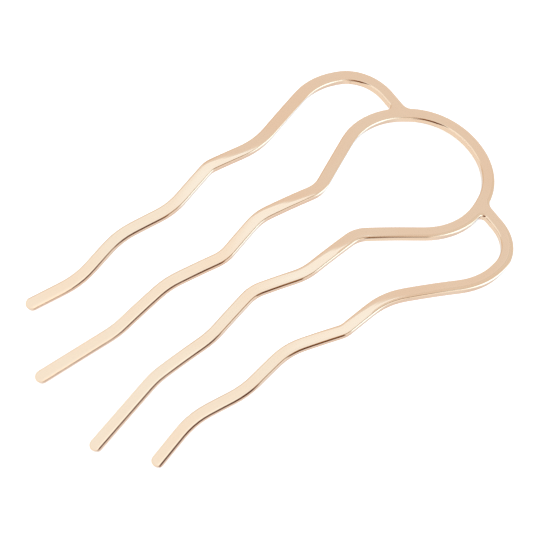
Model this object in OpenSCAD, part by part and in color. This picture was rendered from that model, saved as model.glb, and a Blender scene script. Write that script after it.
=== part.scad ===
// Wavy hair fork with four tines, in millimetres.
// One strip outline is cut from flat sheet and then bent into a shallow arch. A large loop joins
// the two inner tines, and a smaller loop on each side of it runs on into an outer tine.
// The fork rests as on a table, arch upwards, on the top of the large loop and the inner tips.
// +Y points to the loops, +Z up, and the origin is under the middle of the bounding box.

/* [Sheet] */
// Width of the strip that the loops and tines are cut to
strip_w = 2.65; // [2.2:0.05:2.8]
// Thickness of the sheet
strip_t = 1.7; // [1.2:0.1:2]

/* [Bend] */
// Flat distance from the top edge of the large loop to the start of the bend
bend_start = 28.8; // [28:0.1:30]
// Flat length of the bent stretch, measured on the upper face
bend_len = 61.4; // [58:0.1:64]
// Bend of the inner tines in degrees
inner_bend = 36.6; // [34:0.1:42]
// Bend of the outer tines in degrees, a little less, so that their tips stand proud
outer_bend = 32.2; // [26:0.1:34]

/* [Corners] */
// Radius in the notch above each joint of the loops
notch_r = 2; // [1:0.1:2.5]
// Radius in the corner below each joint of the loops
crotch_r = 1; // [0.6:0.1:1.2]

/* [Hidden] */

metal = [0.89, 0.75, 0.64];
corner_step = 7;   // degrees between the points of a rounded corner
tip_step = 15;     // degrees between the points of a rounded tip
web_steps = 8;     // edges that the hollow of a fillet is made of
bend_steps = 24;   // flats that the bend is made of
sheet_w = 70;      // width of the sheet before it is cut
cut_h = 60;        // height of the upright cut through the arched sheet
spare = 4;         // sheet beyond the loops and tips before it is cut
joint_d = 10;      // from the top edge of the large loop to the middle of a side loop's top

// Flat pattern of the right half, as the corners of the strip's centre line.
// Columns: distance from the fork's middle, distance from the top edge of the large loop,
// radius that the corner is rounded to.
inner_corners = [
    [ 0.0, strip_w / 2,  0],
    [ 8.8, strip_w / 2, 14],
    [17.3,  18.0, 17],
    [ 6.4,  38.8,  7],
    [ 8.0,  53.4, 12],
    [ 4.9,  64.6,  8],
    [ 7.5,  77.3, 18],
    [ 6.6,  91.4, 18],
    [ 9.5, 109.35, 0]
];
outer_corners = [
    [13.2, joint_d, 0],
    [25.7, joint_d, 9],
    [29.1,  22.5, 17],
    [21.8,  43.3, 18],
    [23.2,  55.0,  5],
    [19.8,  67.0, 15],
    [21.7,  79.2, 18],
    [19.4,  91.2, 18],
    [21.8, 101.8,  0]
];

// Joint of the large loop and the side loop: where the edges cross, and the directions of
// the two edges away from there, in degrees from straight across towards the tips.
// Columns: distance from the middle, distance from the top edge, first edge, second edge, radius
joint_webs = [
    [14.0, joint_d - strip_w / 2, -117,  0, notch_r],
    [15.1, joint_d + strip_w / 2,    0, 70, crotch_r]
];

function unit(v) = v / norm(v);
function across(v) = [v[1], -v[0]];
function turn(a, b) = atan2(a[0] * b[1] - a[1] * b[0], a * b);
function rotated(v, a) = [v[0] * cos(a) - v[1] * sin(a), v[0] * sin(a) + v[1] * cos(a)];

// Points of one rounded corner, each with the direction of travel there
function corner(before, at, after, r) =
    let (
        u = unit(at - before),
        bend = turn(u, unit(after - at)),
        side = sign(bend),
        start = at - u * r * tan(abs(bend) / 2),
        centre = start - across(u) * side * r,
        steps = ceil(abs(bend) / corner_step)
    )
    [for (i = [0:steps]) let (a = bend * i / steps)
        [centre + rotated(across(u), a) * side * r, rotated(u, a)]];

function place(row) = [row[0], row[1]];

// The whole centre line: its start, every rounded corner, and its end
function centre_line(rows) =
    let (last = len(rows) - 1)
    concat(
        [[place(rows[0]), unit(place(rows[1]) - place(rows[0]))]],
        [for (i = [1:last - 1])
            each corner(place(rows[i - 1]), place(rows[i]), place(rows[i + 1]), rows[i][2])],
        [[place(rows[last]), unit(place(rows[last]) - place(rows[last - 1]))]]
    );

function edge(line, side) = [for (p = line) p[0] + across(p[1]) * side * strip_w / 2];

// Half circle round the end of a tine, from its outer edge to its inner edge
function round_tip(line) =
    let (end = line[len(line) - 1])
    [for (a = [tip_step:tip_step:180 - tip_step]) end[0] + rotated(across(end[1]), a) * strip_w / 2];

function reverse(list) = [for (i = [len(list) - 1:-1:0]) list[i]];
function mirrored(list) = [for (p = list) [-p[0], p[1]]];

// Outline of a tine from its start down one edge, round the tip and back
function tine_outline(rows) =
    let (line = centre_line(rows))
    concat(edge(line, 1), round_tip(line), reverse(edge(line, -1)));

// The large loop with both inner tines is one outline, so its two halves share no seam
function loop_outline(rows) =
    let (
        half = tine_outline(rows),
        off_middle = [for (i = [1:len(half) - 2]) half[i]]
    )
    concat(half, reverse(mirrored(off_middle)));

// Fillet that fills the corner between two straight edges. Its first point lies inside the metal.
function web(row) =
    let (
        at = place(row),
        first = [cos(row[3]), sin(row[3])],
        second = [cos(row[2]), sin(row[2])],
        gap = abs(row[3] - row[2]),
        r = row[4],
        middle = unit(first + second),
        centre = at + middle * r / sin(gap / 2),
        sweep = 180 - gap
    )
    concat(
        [at - middle * strip_w / 4],
        [for (i = [0:web_steps])
            centre - rotated(middle, sweep * (i / web_steps - 1 / 2)) * r]
    );

// Side view of the bent sheet with the loops lying level. A point lies at the distance d from the
// top edge of the large loop, along the upper face, and at a depth below that face.
function bend_radius(bend) = bend_len / bend * 180 / PI;
function slope(d, bend) = bend * min(max((d - bend_start) / bend_len, 0), 1);
function before_bend(d) = min(d, bend_start);
function past_bend(d) = max(d - bend_start - bend_len, 0);
function level_point(d, depth, bend) =
    let (a = slope(d, bend), r = bend_radius(bend))
    [
        -before_bend(d) - (r - depth) * sin(a) - past_bend(d) * cos(bend),
        -r + (r - depth) * cos(a) - past_bend(d) * sin(bend)
    ];

// The same point on the resting fork. The tilt brings the top of the large loop and the inner
// tips down on one level.
tip_d = inner_corners[len(inner_corners) - 1][1] + strip_w / 2;
inner_tip = level_point(tip_d, 0, inner_bend);
tilt = atan(inner_tip[1] / inner_tip[0]);
middle_y = norm(inner_tip) / 2;
floor_z = -strip_t / cos(inner_bend - tilt);
function rest_point(d, depth, bend) =
    rotated(level_point(d, depth, bend), -tilt) + [middle_y, -floor_z];

function seen_from_above(outline, bend) =
    [for (p = outline) [p[0], rest_point(p[1], 0, bend)[0]]];

function bent_face(depth, bend) =
    let (stations = concat(
        [-spare],
        [for (i = [0:bend_steps]) bend_start + bend_len * i / bend_steps],
        [tip_d + spare]
    ))
    [for (d = stations) rest_point(d, depth, bend)];

module arched_sheet(bend) {
    rotate([90, 0, 90])
        linear_extrude(sheet_w, center = true)
        polygon(concat(bent_face(0, bend), reverse(bent_face(strip_t, bend))));
}

module cut_from_sheet(bend) {
    intersection() {
        linear_extrude(cut_h, center = true) children();
        arched_sheet(bend);
    }
}

module side_loop_and_outer_tine() {
    polygon(seen_from_above(tine_outline(outer_corners), outer_bend));
    for (row = joint_webs)
        polygon(seen_from_above(web(row), outer_bend));
}

module hair_fork() {
    color(metal) {
        cut_from_sheet(inner_bend)
            polygon(seen_from_above(loop_outline(inner_corners), inner_bend));
        for (side = [0, 1])
            cut_from_sheet(outer_bend)
                mirror([side, 0]) side_loop_and_outer_tine();
    }
}

hair_fork();
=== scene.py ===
"""The look of a wavy hair fork of polished rose-gold metal, which lies on a pale floor."""

import math

import bpy
import numpy as np
from mathutils import Matrix, Vector
from mathutils.geometry import delaunay_2d_cdt


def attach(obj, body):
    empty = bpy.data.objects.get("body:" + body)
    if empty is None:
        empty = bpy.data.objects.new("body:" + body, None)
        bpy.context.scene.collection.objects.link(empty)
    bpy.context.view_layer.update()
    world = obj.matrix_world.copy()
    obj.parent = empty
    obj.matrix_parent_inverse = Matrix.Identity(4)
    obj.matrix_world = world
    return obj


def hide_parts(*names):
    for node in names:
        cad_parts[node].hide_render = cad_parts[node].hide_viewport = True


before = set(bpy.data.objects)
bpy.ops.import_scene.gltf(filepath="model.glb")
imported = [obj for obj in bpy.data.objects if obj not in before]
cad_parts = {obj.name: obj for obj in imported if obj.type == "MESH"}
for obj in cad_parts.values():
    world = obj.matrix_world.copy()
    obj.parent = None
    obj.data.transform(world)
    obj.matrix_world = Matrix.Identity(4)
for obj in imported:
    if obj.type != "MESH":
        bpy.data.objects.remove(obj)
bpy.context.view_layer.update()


# Large loop and inner tines
# The fork is cut from one metal sheet. This strip runs from the middle of the head round the right
# half of the large loop and on, in soft waves, to the tip of the right inner tine.
mm = 0.001
strip_width = 2.65 * mm
half_strip = strip_width / 2
straight_step = 0.9 * mm
corner_step = math.radians(5)

# Corners of the strip's centre line in the flat sheet: distance from the fork's middle, distance
# from the top edge of the large loop, radius of the rounded corner.
inner_corners = mm * np.array([
    (0.0, half_strip / mm, 0),
    (8.8, half_strip / mm, 14),
    (17.3, 18.0, 17),
    (6.4, 38.8, 7),
    (8.0, 53.4, 12),
    (4.9, 64.6, 8),
    (7.5, 77.3, 18),
    (6.6, 91.4, 18),
    (9.5, 109.35, 0),
])


def unit(vector):
    return vector / np.linalg.norm(vector)


def turned(vector, angle):
    """The vector turned by this angle, from straight across towards the tips."""
    c, s = math.cos(angle), math.sin(angle)
    return np.array([vector[0] * c - vector[1] * s, vector[0] * s + vector[1] * c])


def outward(way):
    """Direction square to a strip that runs this way, towards the outside of the fork."""
    return np.array([way[1], -way[0]])


def centre_line(corners):
    """Points along a strip's centre line and the way it runs at each, with round corners."""
    places, radii = corners[:, :2], corners[:, 2]
    points, ways = [], []
    here = places[0]
    for i in range(1, len(places)):
        way = unit(places[i] - places[i - 1])
        end, bend = places[i], 0.0
        if i < len(places) - 1:
            after = unit(places[i + 1] - places[i])
            bend = math.atan2(way[0] * after[1] - way[1] * after[0], way @ after)
            end = places[i] - way * radii[i] * math.tan(abs(bend) / 2)
        length = np.linalg.norm(end - here)
        steps = math.ceil(length / straight_step)
        for k in range(steps):
            points.append(here + (end - here) * k / steps)
            ways.append(way)
        if bend:
            reach = outward(way) * math.copysign(radii[i], bend)
            steps = math.ceil(abs(bend) / corner_step)
            for k in range(steps):
                points.append(end - reach + turned(reach, bend * k / steps))
                ways.append(turned(way, bend * k / steps))
            end = end - reach + turned(reach, bend)
        here = end
    points.append(here)
    ways.append(way)
    return np.array(points), np.array(ways)


inner_points, inner_ways = centre_line(inner_corners)
inner_out = np.array([outward(way) for way in inner_ways])


# Side loops and outer tines
# On each side a smaller loop springs straight out of the large one and runs on into an outer tine.
# Only the right one is drawn here, because the sheet is cut in mirror image.
joint_distance = 10 * mm

outer_corners = mm * np.array([
    (13.2, joint_distance / mm, 0),
    (25.7, joint_distance / mm, 9),
    (29.1, 22.5, 17),
    (21.8, 43.3, 18),
    (23.2, 55.0, 5),
    (19.8, 67.0, 15),
    (21.7, 79.2, 18),
    (19.4, 91.2, 18),
    (21.8, 101.8, 0),
])
outer_points, outer_ways = centre_line(outer_corners)
outer_out = np.array([outward(way) for way in outer_ways])


# Joints and tips
# Where a side loop leaves the large loop, the cut is rounded: a wide notch above the joint and a
# tight corner below it. Each tine ends in a half circle.
notch_radius = 2 * mm
crotch_radius = 1 * mm
fillet_steps = 14
tip_steps = 28
least_gap = 0.05 * mm


def joint_fillet(level, radius, towards_tips):
    """The round corner between the large loop's outer edge and a side loop's edge at this level,
    where a ball of this radius touches both: above the edge for -1 and on the tips' side for 1.
    It is given as points and outward directions, with the ball's place along the centre line."""
    balls = inner_points + inner_out * (half_strip + radius)
    place = np.interp(level + radius * towards_tips, balls[:, 1], np.arange(len(balls)))
    before = int(place)
    share = place - before
    ball = balls[before] * (1 - share) + balls[before + 1] * share
    out = unit(inner_out[before] * (1 - share) + inner_out[before + 1] * share)
    first = math.atan2(-out[1], -out[0])
    second = math.atan2(-towards_tips, 0)
    sweep = (second - first + math.pi) % (2 * math.pi) - math.pi
    angles = first + sweep * np.linspace(0, 1, fillet_steps + 1)
    spokes = np.stack([np.cos(angles), np.sin(angles)], axis=1)
    return ball + spokes * radius, -spokes, place


def round_tip(point, way):
    """The half circle at the end of a tine, from its outer edge round to its inner edge."""
    spokes = np.array([turned(outward(way), math.pi * k / tip_steps) for k in range(1, tip_steps)])
    return point + spokes * half_strip, spokes


notch, notch_out, notch_place = joint_fillet(joint_distance - half_strip, notch_radius, -1)
crotch, crotch_out, crotch_place = joint_fillet(joint_distance + half_strip, crotch_radius, 1)
inner_tip, inner_tip_out = round_tip(inner_points[-1], inner_ways[-1])
outer_tip, outer_tip_out = round_tip(outer_points[-1], outer_ways[-1])
above_joint = slice(0, math.ceil(notch_place))
below_joint = slice(math.floor(crotch_place) + 1, None)
past_notch = outer_points[:, 0] > notch[-1, 0]
past_crotch = outer_points[:, 0] > crotch[-1, 0]


def strip_edge(points, out, side):
    """A run of a strip's edge: the outer edge on side 1, and the inner edge, run back, on -1."""
    return (points + out * half_strip * side)[::side], (out * side)[::side]


# The right half of the outline, as runs of points with their outward directions. Each run's last
# number says whether it bends with the inner tines, 0, or with the outer tines, 1.
runs = [
    (*strip_edge(inner_points[above_joint], inner_out[above_joint], 1), 0),
    (notch, notch_out, 0),
    (*strip_edge(outer_points[past_notch], outer_out[past_notch], 1), 1),
    (outer_tip, outer_tip_out, 1),
    (*strip_edge(outer_points[past_crotch], outer_out[past_crotch], -1), 1),
    (crotch[::-1], crotch_out[::-1], 0),
    (*strip_edge(inner_points[below_joint], inner_out[below_joint], 1), 0),
    (inner_tip, inner_tip_out, 0),
    (*strip_edge(inner_points, inner_out, -1), 0),
]
right = np.concatenate([points for points, _, _ in runs])
right_out = np.concatenate([out for _, out, _ in runs])
right_bend = np.concatenate([np.full(len(points), which) for points, _, which in runs])
apart = np.linalg.norm(np.diff(right, axis=0), axis=1) > least_gap
kept = np.concatenate([[True], apart])
right, right_out, right_bend = right[kept], right_out[kept], right_bend[kept]
mirror = np.array([-1, 1])
outline = np.concatenate([right, right[-2:0:-1] * mirror])
outline_out = np.concatenate([right_out, right_out[-2:0:-1] * mirror])
outline_bend = np.concatenate([right_bend, right_bend[-2:0:-1]])


# Bend of the sheet
# The cut sheet is bent in a shallow arch behind the head, the outer tines a little less than the
# inner ones. The fork then rests on the top of the large loop and on the inner tips.
sheet_thickness = 1.7 * mm
bend_start = 28.8 * mm
bend_length = 61.4 * mm
inner_bend = math.radians(36.6)
outer_bend = math.radians(32.2)


def slope_at(distance, bend):
    """How far the sheet slopes down at this distance from the top edge of the large loop."""
    return bend * np.clip((distance - bend_start) / bend_length, 0, 1)


def level_point(distance, depth, bend):
    """Place along and above the fork with its head level, at a depth below the upper face."""
    slope = slope_at(distance, bend)
    radius = bend_length / bend
    before = np.minimum(distance, bend_start)
    past = np.maximum(distance - bend_start - bend_length, 0)
    along = -before - (radius - depth) * np.sin(slope) - past * np.cos(bend)
    height = -radius + (radius - depth) * np.cos(slope) - past * np.sin(bend)
    return along, height


tip_distance = inner_corners[-1, 1] + half_strip
tip_along, tip_height = level_point(tip_distance, 0.0, inner_bend)
rest_tilt = math.atan2(-tip_height, -tip_along)
middle = math.hypot(tip_along, tip_height) / 2
rest_height = sheet_thickness / math.cos(inner_bend - rest_tilt)


def bent(flat, depth, which):
    """Points of the flat sheet, at a depth below its upper face, on the fork as it rests."""
    bend = np.where(which == 1, outer_bend, inner_bend)
    along, height = level_point(flat[:, 1], depth, bend)
    c, s = math.cos(rest_tilt), math.sin(rest_tilt)
    towards_head = along * c + height * s + middle
    up = height * c - along * s + rest_height
    return np.stack([flat[:, 0], towards_head, up], axis=1)


def bent_direction(across, towards_tips, up, flat, which):
    """The same for directions at these points."""
    bend = np.where(which == 1, outer_bend, inner_bend)
    angle = slope_at(flat[:, 1], bend) - rest_tilt
    c, s = np.cos(angle), np.sin(angle)
    return np.stack([across, -towards_tips * c - up * s, up * c - towards_tips * s], axis=1)


# Polished section
# Polishing has rounded the strip's edges and crowned its faces, mostly close to the edges. Each row
# goes once round the outline, from the crown of the upper face over the edge to the lower face's.
edge_radius = 0.34 * mm
crown_rise = 0.12 * mm
crown_power = 3
half_level = 0.09 * mm  # half the width of the level stretch along each face's middle
crown_steps = 5
edge_steps = 7


def crown_drop(inset):
    """How far the face lies below its middle, at this distance from the edge."""
    return crown_rise * (1 - np.minimum(inset / half_strip, 1)) ** crown_power


def crown_tilt(inset):
    """How far the face slopes down towards the edge there."""
    steepest = crown_power * crown_rise / half_strip
    return np.arctan(steepest * (1 - np.minimum(inset / half_strip, 1)) ** (crown_power - 1))


# Each row's distance in from the outline, its height above the sheet's middle, and how far the
# surface's direction there is lifted from level.
edge_lifts = np.linspace(math.pi / 2 - crown_tilt(edge_radius), 0, edge_steps + 1)
edge_insets = edge_radius * (1 - np.cos(edge_lifts))
crown_insets = np.linspace(half_strip - half_level, edge_insets[0], crown_steps + 1)[:-1]
edge_top = sheet_thickness / 2 - crown_drop(edge_insets[0])
edge_heights = edge_top - edge_radius * (math.sin(edge_lifts[0]) - np.sin(edge_lifts))
insets = np.concatenate([crown_insets, edge_insets])
heights = np.concatenate([sheet_thickness / 2 - crown_drop(crown_insets), edge_heights])
lifts = np.concatenate([math.pi / 2 - crown_tilt(crown_insets), edge_lifts])
upper_rows = np.stack([insets, heights, lifts], axis=1)
lower_rows = upper_rows[::-1] * (1, -1, -1)
rows = np.concatenate([upper_rows, lower_rows])

# Distance of each row round the section from the middle of its own face, and how much of the
# edge's rounding it has: none on the faces and the wall, and most halfway round the edge.
row_gaps = np.hypot(np.diff(insets), np.diff(heights))
upper_girths = half_level + np.concatenate([[0], np.cumsum(row_gaps)])
girths = np.concatenate([upper_girths, upper_girths[::-1]])
roundings = np.sin(2 * rows[:, 2]) ** 2

count = len(outline)
vertices, normals = [], []
for inset, height, lift in rows:
    flat = outline - outline_out * inset
    vertices.append(bent(flat, sheet_thickness / 2 - height, outline_bend))
    across, towards_tips = (outline_out * math.cos(lift)).T
    up = np.full(count, math.sin(lift))
    normals.append(bent_direction(across, towards_tips, up, flat, outline_bend))

border = [(i, (i + 1) % count) for i in range(count)]
faces = []
for row in range(len(rows) - 1):
    upper, lower = row * count, (row + 1) * count
    for i, j in border:
        faces.append((upper + i, upper + j, lower + j, lower + i))

# The level middles of the upper and the lower face are filled with the same triangles.
fill_inside = 1
same_point = 1e-6
level_outline = (outline - outline_out * (half_strip - half_level)) / mm
level_points = [Vector(point) for point in level_outline]
_, _, triangles, sources, _, _ = delaunay_2d_cdt(
    level_points, border, [list(range(count))], fill_inside, same_point)
last_row = (len(rows) - 1) * count
for triangle in triangles:
    corners = [sources[v][0] for v in triangle]
    faces.append(tuple(reversed(corners)))
    faces.append(tuple(last_row + v for v in corners))

fork_mesh = bpy.data.meshes.new("wavy_fork")
fork_mesh.from_pydata(np.concatenate(vertices).tolist(), [], faces)
fork_mesh.validate()
fork_mesh.shade_smooth()
fork_mesh.normals_split_custom_set_from_vertices(np.concatenate(normals).tolist())
for name, row_values in (("girth", girths), ("rounding", roundings)):
    attribute = fork_mesh.attributes.new(name, "FLOAT", "POINT")
    attribute.data.foreach_set("value", np.repeat(row_values, count))
fork = bpy.data.objects.new("wavy_fork", fork_mesh)
bpy.context.scene.collection.objects.link(fork)
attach(fork, "root")
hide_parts("hair_fork")


# Rose-gold finish
# Brass with a thin rose-gold plating. It was polished lengthwise on a soft wheel, which leaves the
# faces faintly wavy, lays hair-fine lines along them and bares a redder coat on the rounded edges.
plating_rose = (0.935, 0.700, 0.515)
plating_gold = (0.925, 0.725, 0.550)
plating_thin = (0.945, 0.690, 0.480)
patch_scale = 75.0
patch_detail = 2.0
patch_contrast = (0.35, 0.65)
wear_start = 0.2
edge_wear = 0.8
lines_across = 2600.0
lines_along = 45.0
line_detail = 3.0
line_depth = 0.0002 * mm
line_roughness = 0.03
haze_scale = 160.0
haze_detail = 3.0
haze_contrast = (0.3, 0.7)
haze_roughness = (0.035, 0.085)
wave_scale = 200.0
wave_detail = 0.0
wave_depth = 0.025 * mm

rose_gold = bpy.data.materials.new("polished_rose_gold")
rose_gold.use_nodes = True
metal_nodes = rose_gold.node_tree.nodes
metal = metal_nodes["Principled BSDF"]
metal.inputs["Metallic"].default_value = 1
place = metal_nodes.new("ShaderNodeTexCoord").outputs["Object"]


def feed(socket, source):
    """Link an input to another node's output, or give it a plain number or colour."""
    if isinstance(source, bpy.types.NodeSocket):
        socket.id_data.links.new(source, socket)
    elif isinstance(source, tuple):
        socket.default_value = (*source, 1)
    else:
        socket.default_value = source


def node_after(output, kind):
    """A new node of this kind, in the same tree as the output that it is to read."""
    return output.id_data.nodes.new(kind)


def noise(scale, detail, coordinates):
    """A noise texture at this scale per metre, as its output from 0 to 1."""
    node = node_after(coordinates, "ShaderNodeTexNoise")
    feed(node.inputs["Vector"], coordinates)
    feed(node.inputs["Scale"], scale)
    feed(node.inputs["Detail"], detail)
    return node.outputs["Fac"]


def ranged(value, low, high, first, last):
    """The value carried from low..high to first..last, and held at both ends."""
    node = node_after(value, "ShaderNodeMapRange")
    feed(node.inputs["Value"], value)
    feed(node.inputs["From Min"], low)
    feed(node.inputs["From Max"], high)
    feed(node.inputs["To Min"], first)
    feed(node.inputs["To Max"], last)
    return node.outputs["Result"]


def blended(factor, first, last):
    """A colour between the first and the last, each given as a colour or as a node's output."""
    node = node_after(factor, "ShaderNodeMix")
    node.data_type = "RGBA"
    feed(node.inputs["Factor"], factor)
    feed(node.inputs["A"], first)
    feed(node.inputs["B"], last)
    return node.outputs["Result"]


def calculated(operation, value, *others):
    """What a Math node makes of a node's output and, after it, of other outputs or numbers."""
    node = node_after(value, "ShaderNodeMath")
    node.operation = operation
    for socket, source in zip(node.inputs, (value, *others)):
        feed(socket, source)
    return node.outputs["Value"]


def stored(name):
    """The value of this name that the fork's mesh holds at each point."""
    node = metal_nodes.new("ShaderNodeAttribute")
    node.attribute_name = name
    return node.outputs["Fac"]


# Tone: broad patches of the plating, and its thinner, redder coat on the rounded edges.
patches = ranged(noise(patch_scale, patch_detail, place), *patch_contrast, 0, 1)
face_tone = blended(patches, plating_rose, plating_gold)
worn = ranged(stored("rounding"), wear_start, 1, 0, edge_wear)
feed(metal.inputs["Base Color"], blended(worn, face_tone, plating_thin))

# Lines: noise in stretched coordinates, drawn out along the tines and fine round the section.
parts = node_after(place, "ShaderNodeSeparateXYZ")
feed(parts.inputs["Vector"], place)
drawn = node_after(place, "ShaderNodeCombineXYZ")
feed(drawn.inputs["X"], calculated("MULTIPLY", stored("girth"), lines_across))
feed(drawn.inputs["Y"], calculated("MULTIPLY", parts.outputs["Y"], lines_along))
feed(drawn.inputs["Z"], calculated("MULTIPLY", parts.outputs["X"], lines_along))
lines = noise(1.0, line_detail, drawn.outputs["Vector"])

# Gloss: hazier where the wheel passed lightly and along the lines.
haze = ranged(noise(haze_scale, haze_detail, place), *haze_contrast, *haze_roughness)
feed(metal.inputs["Roughness"], calculated("MULTIPLY_ADD", lines, line_roughness, haze))


def bumped(height, depth, under=None):
    """The surface's direction with this relief on it, over the relief that is under it."""
    node = node_after(height, "ShaderNodeBump")
    feed(node.inputs["Height"], height)
    feed(node.inputs["Distance"], depth)
    if under:
        feed(node.inputs["Normal"], under)
    return node.outputs["Normal"]


# Relief: the wheel's slight waves, and the lines on top of them.
waves = noise(wave_scale, wave_detail, place)
feed(metal.inputs["Normal"], bumped(lines, line_depth, bumped(waves, wave_depth)))
fork_mesh.materials.append(rose_gold)


# Floor
# A plain white table top at the height of the fork's lowest points. It is lit from below as well,
# so it shows as clean white with a trace of shade only where the fork meets it.
floor_size = 3.0
floor_white = 0.75
floor_glow = 0.58
floor_roughness = 0.9
floor_height = float(np.concatenate(vertices)[:, 2].min())
reach = floor_size / 2
floor_corners = [(-reach, -reach, 0), (reach, -reach, 0), (reach, reach, 0), (-reach, reach, 0)]
floor_mesh = bpy.data.meshes.new("floor")
floor_mesh.from_pydata(floor_corners, [], [(0, 1, 2, 3)])
floor = bpy.data.objects.new("floor", floor_mesh)
floor.location.z = floor_height
floor.visible_glossy = False
bpy.context.scene.collection.objects.link(floor)

floor_paint = bpy.data.materials.new("white_table")
floor_paint.use_nodes = True
table = floor_paint.node_tree.nodes["Principled BSDF"]
table.inputs["Base Color"].default_value = (floor_white, floor_white, floor_white, 1)
table.inputs["Roughness"].default_value = floor_roughness
table.inputs["Specular IOR Level"].default_value = 0
table.inputs["Emission Color"].default_value = (1, 1, 1, 1)
table.inputs["Emission Strength"].default_value = floor_glow
floor_mesh.materials.append(floor_paint)


# Light tent
# A white cloth tent, lit from outside. The fork's faces mirror its roof, which is bright in two
# places, and the fork's edge walls mirror its lower half, which is warmer towards the camera and a
# little shaded there.
roof_white = (0.994, 1.074, 1.118)
roof_bright = (1.025, 1.165, 1.275)
bright_azimuth = math.radians(123)
bright_elevation = math.radians(61)
bright_reach = math.cos(math.radians(17))
roof_glow = (1.065, 1.185, 1.235)
glow_azimuth = math.radians(-86)
glow_elevation = math.radians(72)
glow_reach = math.cos(math.radians(17))
near_base = (0.925, 0.89, 0.855)
far_base = (0.87, 1.02, 1.19)
far_azimuth = math.radians(105)
base_blend = 0.5
shaded_base = (0.81, 0.765, 0.76)
shaded_azimuth = math.radians(28)
shaded_elevation = math.radians(-61)
shaded_reach = math.cos(math.radians(24))
overhead = math.radians(90)
horizon_blend = 0.05

tent = bpy.data.worlds.new("light_tent")
tent.use_nodes = True
tent_nodes = tent.node_tree.nodes
direction = tent_nodes.new("ShaderNodeTexCoord").outputs["Generated"]


def eased(value, low, high):
    """How far the value has come from low to high, as a smooth rise from 0 to 1."""
    node = node_after(value, "ShaderNodeMapRange")
    node.interpolation_type = "SMOOTHSTEP"
    feed(node.inputs["Value"], value)
    feed(node.inputs["From Min"], low)
    feed(node.inputs["From Max"], high)
    return node.outputs["Result"]


def faced(azimuth, elevation, low, high):
    """How far a direction points to this place in the tent: it rises from 0 to 1 as the cosine of
    the angle between the two rises from low to high."""
    towards = node_after(direction, "ShaderNodeVectorMath")
    towards.operation = "DOT_PRODUCT"
    level = math.cos(elevation)
    towards.inputs[1].default_value = (
        level * math.cos(azimuth), level * math.sin(azimuth), math.sin(elevation))
    feed(towards.inputs[0], direction)
    return eased(towards.outputs["Value"], low, high)


roof = blended(faced(bright_azimuth, bright_elevation, bright_reach, 1), roof_white, roof_bright)
roof = blended(faced(glow_azimuth, glow_elevation, glow_reach, 1), roof, roof_glow)
lit_base = blended(faced(far_azimuth, 0, -base_blend, base_blend), near_base, far_base)
shade = faced(shaded_azimuth, shaded_elevation, shaded_reach, 1)
base = blended(shade, lit_base, shaded_base)
cloth = blended(faced(0, overhead, -horizon_blend, horizon_blend), base, roof)
feed(tent_nodes["Background"].inputs["Color"], cloth)
bpy.context.scene.world = tent
bpy.context.scene.view_settings.view_transform = "Standard"


# Cards in the tent
# Upright cards and cloths round the fork, which show only in its polish: beige cards on the far
# side, a bright strip on the right, and brown cloth on the near side, where the tent opens, with a
# bright gap in it. Some reach below the floor, which the polish doesn't mirror. The lowest dark
# card on the near side, wholly below the floor, is painted shade: the edge walls mirror it in place
# of the table's shade beside the fork.

# Every card's mask: 1 in its middle and 0 past its edges. Each edge has two values, for where the
# card is clear and where it is full, as distances from its upright middle line or above the floor.
soft_edges = bpy.data.node_groups.new("soft_edges", "ShaderNodeTree")
for name in ("Side Clear", "Side Full", "Bottom Clear", "Bottom Full", "Top Clear", "Top Full"):
    soft_edges.interface.new_socket(name, in_out="INPUT", socket_type="NodeSocketFloat")
soft_edges.interface.new_socket("Shown", in_out="OUTPUT", socket_type="NodeSocketFloat")
limits = soft_edges.nodes.new("NodeGroupInput").outputs
on_card = soft_edges.nodes.new("ShaderNodeSeparateXYZ")
feed(on_card.inputs["Vector"], soft_edges.nodes.new("ShaderNodeTexCoord").outputs["Object"])
off_middle = calculated("ABSOLUTE", on_card.outputs["X"])
in_sides = eased(off_middle, limits["Side Clear"], limits["Side Full"])
over_bottom = eased(on_card.outputs["Z"], limits["Bottom Clear"], limits["Bottom Full"])
under_top = eased(on_card.outputs["Z"], limits["Top Clear"], limits["Top Full"])
shown = calculated("MULTIPLY", calculated("MULTIPLY", in_sides, over_bottom), under_top)
feed(soft_edges.nodes.new("NodeGroupOutput").inputs["Shown"], shown)


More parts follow.
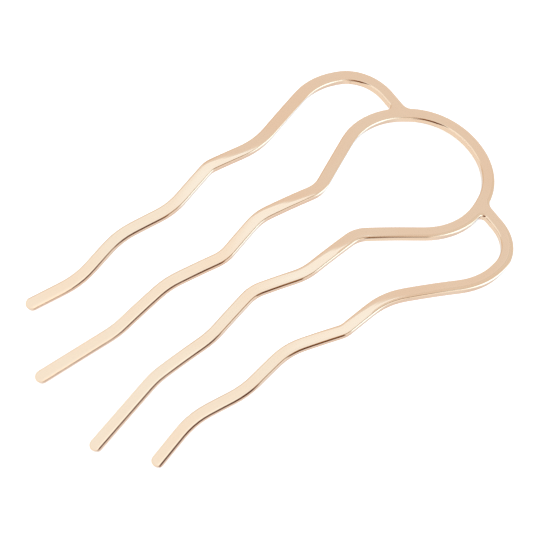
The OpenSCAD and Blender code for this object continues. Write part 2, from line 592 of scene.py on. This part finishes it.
def card(name, azimuth, distance, half_spread, low, high, soft, colour):
    """A card that faces the fork. Its half width, its lower and upper edges and the softness of its
    edges are given in degrees, as seen from the middle of the floor under the fork."""
    facing = math.radians(azimuth)
    half_width = distance * math.tan(math.radians(half_spread))
    bottom = distance * math.tan(math.radians(low))
    top = distance * math.tan(math.radians(high))
    fade = distance * math.tan(math.radians(soft))
    bottom_fade = fade / math.cos(math.radians(low)) ** 2
    top_fade = fade / math.cos(math.radians(high)) ** 2
    x, z0, z1 = half_width + fade, bottom - bottom_fade, top + top_fade
    mesh = bpy.data.meshes.new(name)
    mesh.from_pydata([(-x, 0, z0), (x, 0, z0), (x, 0, z1), (-x, 0, z1)], [], [(0, 1, 2, 3)])
    piece = bpy.data.objects.new(name, mesh)
    piece.location = (distance * math.cos(facing), distance * math.sin(facing), floor_height)
    piece.rotation_euler.z = facing + math.pi / 2
    piece.visible_camera = False
    piece.visible_diffuse = False
    piece.visible_shadow = False
    bpy.context.scene.collection.objects.link(piece)

    paint = bpy.data.materials.new(name)
    paint.use_nodes = True
    mask = paint.node_tree.nodes.new("ShaderNodeGroup")
    mask.node_tree = soft_edges
    for edge, at, inwards in (
        ("Side", half_width, -fade), ("Bottom", bottom, bottom_fade), ("Top", top, -top_fade),
    ):
        mask.inputs[edge + " Clear"].default_value = at - inwards / 2
        mask.inputs[edge + " Full"].default_value = at + inwards / 2
    glowing = paint.node_tree.nodes["Principled BSDF"]
    glowing.inputs["Base Color"].default_value = (0, 0, 0, 1)
    glowing.inputs["Specular IOR Level"].default_value = 0
    glowing.inputs["Emission Color"].default_value = (*colour, 1)
    glowing.inputs["Emission Strength"].default_value = 1
    feed(glowing.inputs["Alpha"], mask.outputs["Shown"])
    mesh.materials.append(paint)


# Each card's name, azimuth, distance in metres, half spread, lower and upper edge, softness, colour
card("side_card", 84, 0.36, 20, -6, 58, 1, (0.80, 0.75, 0.69))
card("far_card", 127.5, 0.21, 27, -1.5, 53.5, 2.5, (0.835, 0.795, 0.76))
card("left_far_card", 172, 0.2, 27, -40, 48, 4, (0.75, 0.66, 0.58))
card("bright_strip", 45.5, 0.25, 19, -34, 49, 10, (1.4, 1.9, 2.3))
card("bright_gap", -37, 0.15, 8.5, 5, 48, 3, (3, 3, 3))
card("dark_cloth", -20, 0.11, 25, -37, 83, 5, (0.115, 0.040, 0.016))
card("brown_cloth", 23, 0.1, 37, 37, 83, 5, (0.34, 0.18, 0.07))
# Painted shade: a dark sheet below the floor, which the edge walls mirror in place of the table's
# shade beside the fork.
card("painted_floor_shade", -31, 0.1, 23, -70, -54, 3, (0.20, 0.06, 0.01))


# Camera
# It looks down at the fork from beyond the tips, on the right, through a long lens. It is rolled a
# little and aimed a little off the fork's middle, which frames the fork as in the photo.
camera_azimuth = math.radians(50.64)
camera_elevation = math.radians(63.49)
camera_roll = math.radians(2.92)
camera_distance = 1023 * mm
aim_right = -0.702 * mm
aim_up = 1.920 * mm
sensor_width = 36.0
focal_length = 329.5

across_view = Vector((math.cos(camera_azimuth), math.sin(camera_azimuth), 0))
into_view = Vector((-math.sin(camera_azimuth), math.cos(camera_azimuth), 0))
upright = Vector((0, 0, 1))
view_up = math.sin(camera_elevation) * into_view + math.cos(camera_elevation) * upright
forward = math.cos(camera_elevation) * into_view - math.sin(camera_elevation) * upright
right_way = math.cos(camera_roll) * across_view + math.sin(camera_roll) * view_up
up_way = -math.sin(camera_roll) * across_view + math.cos(camera_roll) * view_up
camera_place = aim_right * right_way + aim_up * up_way - camera_distance * forward
camera_data = bpy.data.cameras.new("camera")
camera_data.sensor_width = sensor_width
camera_data.lens = focal_length
camera = bpy.data.objects.new("camera", camera_data)
turn = Matrix((right_way, up_way, -forward)).transposed()
camera.matrix_world = Matrix.Translation(camera_place) @ turn.to_4x4()
bpy.context.scene.collection.objects.link(camera)
bpy.context.scene.camera = camera
